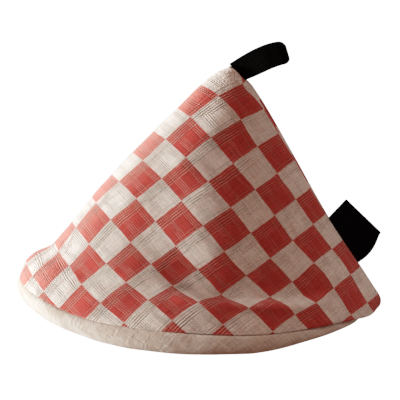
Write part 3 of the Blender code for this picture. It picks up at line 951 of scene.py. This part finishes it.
def checked_cotton():
    n = Nodes("Checked cotton, sewn")
    a, b = n.cloth_place()
    slow, fast = WANDER_SCALES
    wander_a = n.scaled(n.streaks(a, b, slow, fast, detail=2.0), WANDER, -0.5 * WANDER)
    wander_b = n.scaled(n.streaks(a, b, fast, slow, seed=7.0, detail=2.0), WANDER, -0.5 * WANDER)
    la = n.math("SUBTRACT", n.add(a, wander_a), PATTERN_SHIFT[0])
    lb = n.math("SUBTRACT", n.add(b, wander_b), PATTERN_SHIFT[1])
    in_a, in_b = (n.ramp(n.math("SINE", n.times(place, math.pi)), -CHECK_SOFT, CHECK_SOFT)
                  for place in (la, lb))
    neither = n.times(n.math("SUBTRACT", 1.0, in_a), n.math("SUBTRACT", 1.0, in_b))
    red = n.add(n.times(in_a, in_b), neither)
    # millimetres along the two directions
    ma, mb = n.times(la, CHECK), n.times(lb, CHECK)
    # the threads stand out towards the fold at the left, where the key light falls; there their
    # painted highlight and shade are strongest, and the red checks get a painted sheen
    from_fold = n.math("DIVIDE", n.math("ABSOLUTE", a), n.math("MAXIMUM", b, 0.1))
    raised_and_painted_light = n.ramp(from_fold, *FOLD_RAISE_AND_PAINTED_LIGHT)
    painted_sheen = n.ramp(from_fold, *FOLD_PAINTED_SHEEN)
    cords = raised_threads(n, CORDS, n.math("FRACT", la), ma, mb,
                           n.streaks(ma, mb, *CORDS.streaks), raised_and_painted_light)
    lines = raised_threads(n, LINES, n.math("FRACT", lb), mb, ma,
                           n.streaks(ma, mb, *LINES.streaks), raised_and_painted_light)
    plain = n.times(n.wave(ma, PLAIN_PITCH), n.wave(mb, PLAIN_PITCH))
    slub = n.slub(ma, mb, *SLUB_SCALES)
    grain = n.noise(n.vector(ma, mb, 2.0), scale=0.95, detail=1.0)
    height = n.add(cords[2], lines[2], n.weighed((plain, slub, grain), CHECKED_RELIEF))
    # the red yarn shows a little among the white
    mottle = n.noise(n.vector(a, b), scale=3.2, detail=4.0, roughness=0.6)
    white_cell = n.mix(n.ramp(mottle, *PINK_SHOWS), WHITE_YARN, PINK_YARN)
    red_cell = RED_YARN
    # painted highlight on the raised threads of the red checks
    for look, (threads, _, _) in ((CORDS, cords), (LINES, lines)):
        red_cell = n.mix(n.times(threads, look.bright), red_cell, PAINTED_HIGHLIGHT_RED)
    # painted shade in the gaps between the raised threads, in red and white checks
    for look, (_, gaps, _) in ((CORDS, cords), (LINES, lines)):
        red_cell = n.mix(n.times(gaps, look.painted_shade_red), red_cell, PAINTED_GAP_SHADE_RED)
        white_cell = n.mix(n.times(gaps, look.painted_shade_white), white_cell, PAINTED_GAP_SHADE_WHITE)
    # painted sheen: the red checks paler towards the fold at the left, where the key light falls
    red_cell = n.mix(painted_sheen, red_cell, PAINTED_SHEEN_RED)
    shade = n.add(n.scaled(slub, SLUB_SHADES, CHECKED_TONE), n.times(grain, GRAIN_SHADES))
    colour = n.shaded(n.mix(red, white_cell, red_cell), shade)
    n.bump(height, distance=1.1)
    return n.finish(colour, roughness=0.92, sheen=0.40, sheen_roughness=0.30, specular=0.10)


def cream_cotton():
    n = Nodes("Cream cotton, sewn")
    a, b = n.cloth_place()
    ma, mb = n.times(a, CHECK), n.times(b, CHECK)
    weave = n.times(n.wave(ma, CREAM_PITCH), n.wave(mb, CREAM_PITCH))
    slub = n.slub(ma, mb, *CREAM_SLUB_SCALES)
    mottle = n.noise(n.vector(a, b), scale=2.0, detail=4.0, roughness=0.6)
    speckle = n.noise(n.vector(ma, mb, 4.0), scale=0.9, detail=2.0)
    colour = n.mix(n.ramp(mottle, *CREAM_MOTTLE), CREAM_YARN, CREAM_SHADE)
    colour = n.shaded(colour, n.scaled(n.add(slub, speckle), SLUB_SHADES, CREAM_TONE))
    n.bump(n.weighed((weave, slub, speckle), CREAM_RELIEF), distance=0.8)
    return n.finish(colour, roughness=0.92, sheen=0.15, sheen_roughness=0.45, specular=0.10)


def black_weave(name, colour, rib, roughness):
    """A ribbed black weave, a little dusty; rib is the ribs' pitch in millimetres."""
    n = Nodes(name)
    a, b = n.cloth_place()
    ma, mb = n.times(a, CHECK), n.times(b, CHECK)
    height = n.weighed((n.wave(ma, rib), n.wave(mb, FINE_RIB)), RIB_RELIEF)
    dust = n.ramp(n.noise(n.vector(ma, mb), scale=0.9, detail=3.0), *DUST_SHOWS)
    tone = n.mix(dust, colour, tuple(DUSTY * part for part in colour))
    n.bump(height, distance=0.8)
    return n.finish(tone, roughness, sheen=0.0, sheen_roughness=0.5, specular=0.05)


def dress(piece, node, material):
    piece.data.materials.append(material)
    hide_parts(node)
    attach(piece, "root")
    return piece


outer = dress(build_outer(), "outer_cloth", checked_cotton())
lining = dress(build_lining(), "lining", cream_cotton())
loop = dress(strip_mesh("hanging_loop_tape", loop_place, 2 * LOOP_SIDE_STEPS + LOOP_TURN_STEPS,
                        LOOP_STEPS_ACROSS, LOOP_THICK),
             "hanging_loop",
             black_weave("Black tape, sewn", BLACK_TAPE, rib=1.1, roughness=0.9))
label = dress(strip_mesh("side_label_ribbon", label_place,
                         2 * LABEL_SIDE_STEPS + LABEL_TURN_STEPS, LABEL_STEPS_ACROSS,
                         LABEL_THICK),
              "side_label",
              black_weave("Black ribbon, sewn", BLACK_RIBBON, rib=0.6, roughness=0.8))


# ---------------------------------------------------------------- the studio
# How the scene's light is shown, as a camera does: the highlights are held back, and the shadows
# are deepened.
RESPONSE_POWER = 1.2
RESPONSE_MIDDLE = 0.417
RESPONSE_STEPS = 40
FILL = (0.108, 0.050, 0.035)         # from all sides
FLOOR_FILL = (0.128, 0.063, 0.045)   # from the pale floor
FLOOR_HALF = 3.0
FLOOR_DROP = 0.2 * MM     # keeps the floor clear of the hem
LAMPS_AIM = (0.0, 0.0, 0.08)
LAMPS = (
    # name, x, y, z, size, power, colour
    ("Key", -1.37, -0.085, 0.10, 0.4, 38.0, (1.0, 0.99, 0.96)),
    ("Top", 0.0, -0.2, 1.3, 0.8, 2.2, (1.0, 0.86, 0.78)),
    ("Rim", 1.2, 0.0, 0.20, 0.6, 1.1, (0.85, 1.0, 1.0)),
)
LENS = 129.2              # millimetres, as is the sensor
SENSOR = 36.0
CAMERA_PLACE = (-1.9, -901.5, 148.8)
CAMERA_TILT = 86.0        # degrees from straight down


def seen_white(tree, output, make, dim):
    """White where the camera looks straight at it, and a warm dim fill for the object."""
    path = tree.nodes.new("ShaderNodeLightPath")
    seen, fill = make((1.0, 1.0, 1.0)), make(dim)
    mix = tree.nodes.new("ShaderNodeMixShader")
    tree.links.new(path.outputs["Is Camera Ray"], mix.inputs[0])
    tree.links.new(fill.outputs[0], mix.inputs[1])
    tree.links.new(seen.outputs[0], mix.inputs[2])
    tree.links.new(mix.outputs[0], output.inputs["Surface"])


def respond(view):
    """Set the curve from the scene's light to what is shown."""
    view.view_transform = "Standard"
    view.use_curve_mapping = True
    all_colours = view.curve_mapping.curves[3]     # after red, green and blue
    middle = RESPONSE_MIDDLE**RESPONSE_POWER
    for step in range(1, RESPONSE_STEPS):
        light = (step / RESPONSE_STEPS) ** 2
        taken = light**RESPONSE_POWER
        all_colours.points.new(light, (1.0 + middle) * taken / (middle + taken))
    view.curve_mapping.update()


def make_world(scene):
    world = bpy.data.worlds.new("Studio")
    scene.world = world
    world.use_nodes = True
    tree = world.node_tree
    tree.nodes.clear()

    def background(colour):
        node = tree.nodes.new("ShaderNodeBackground")
        node.inputs["Color"].default_value = (*colour, 1.0)
        return node

    seen_white(tree, tree.nodes.new("ShaderNodeOutputWorld"), background, FILL)


def make_floor(scene):
    mesh = bpy.data.meshes.new("Floor")
    corners = [(x * FLOOR_HALF, y * FLOOR_HALF, 0.0)
               for x, y in ((-1, -1), (1, -1), (1, 1), (-1, 1))]
    mesh.from_pydata(corners, [], [(0, 1, 2, 3)])
    floor = bpy.data.objects.new("Floor", mesh)
    floor.location.z = -FLOOR_DROP
    scene.collection.objects.link(floor)
    material = bpy.data.materials.new("Pale floor")
    material.use_nodes = True
    tree = material.node_tree
    tree.nodes.clear()

    def glow(colour):
        node = tree.nodes.new("ShaderNodeEmission")
        node.inputs["Color"].default_value = (*colour, 1.0)
        return node

    seen_white(tree, tree.nodes.new("ShaderNodeOutputMaterial"), glow, FLOOR_FILL)
    floor.data.materials.append(material)


def make_lamps(scene):
    for name, x, y, z, size, power, colour in LAMPS:
        lamp = bpy.data.lights.new(name, "AREA")
        lamp.shape = "SQUARE"
        lamp.size = size
        lamp.energy = power
        lamp.color = colour
        light = bpy.data.objects.new(name, lamp)
        light.location = (x, y, z)
        aim = Vector(LAMPS_AIM) - light.location
        light.rotation_euler = aim.to_track_quat("-Z", "Y").to_euler()
        scene.collection.objects.link(light)


def make_camera(scene):
    lens = bpy.data.cameras.new("Camera")
    lens.lens = LENS
    lens.sensor_width = SENSOR
    viewer = bpy.data.objects.new("Camera", lens)
    viewer.location = [part * MM for part in CAMERA_PLACE]
    viewer.rotation_euler = (math.radians(CAMERA_TILT), 0.0, 0.0)
    scene.collection.objects.link(viewer)
    bpy.context.scene.camera = viewer


studio = bpy.context.scene
respond(studio.view_settings)
make_world(studio)
make_floor(studio)
make_lamps(studio)
make_camera(studio)

bpy.context.view_layer.update()
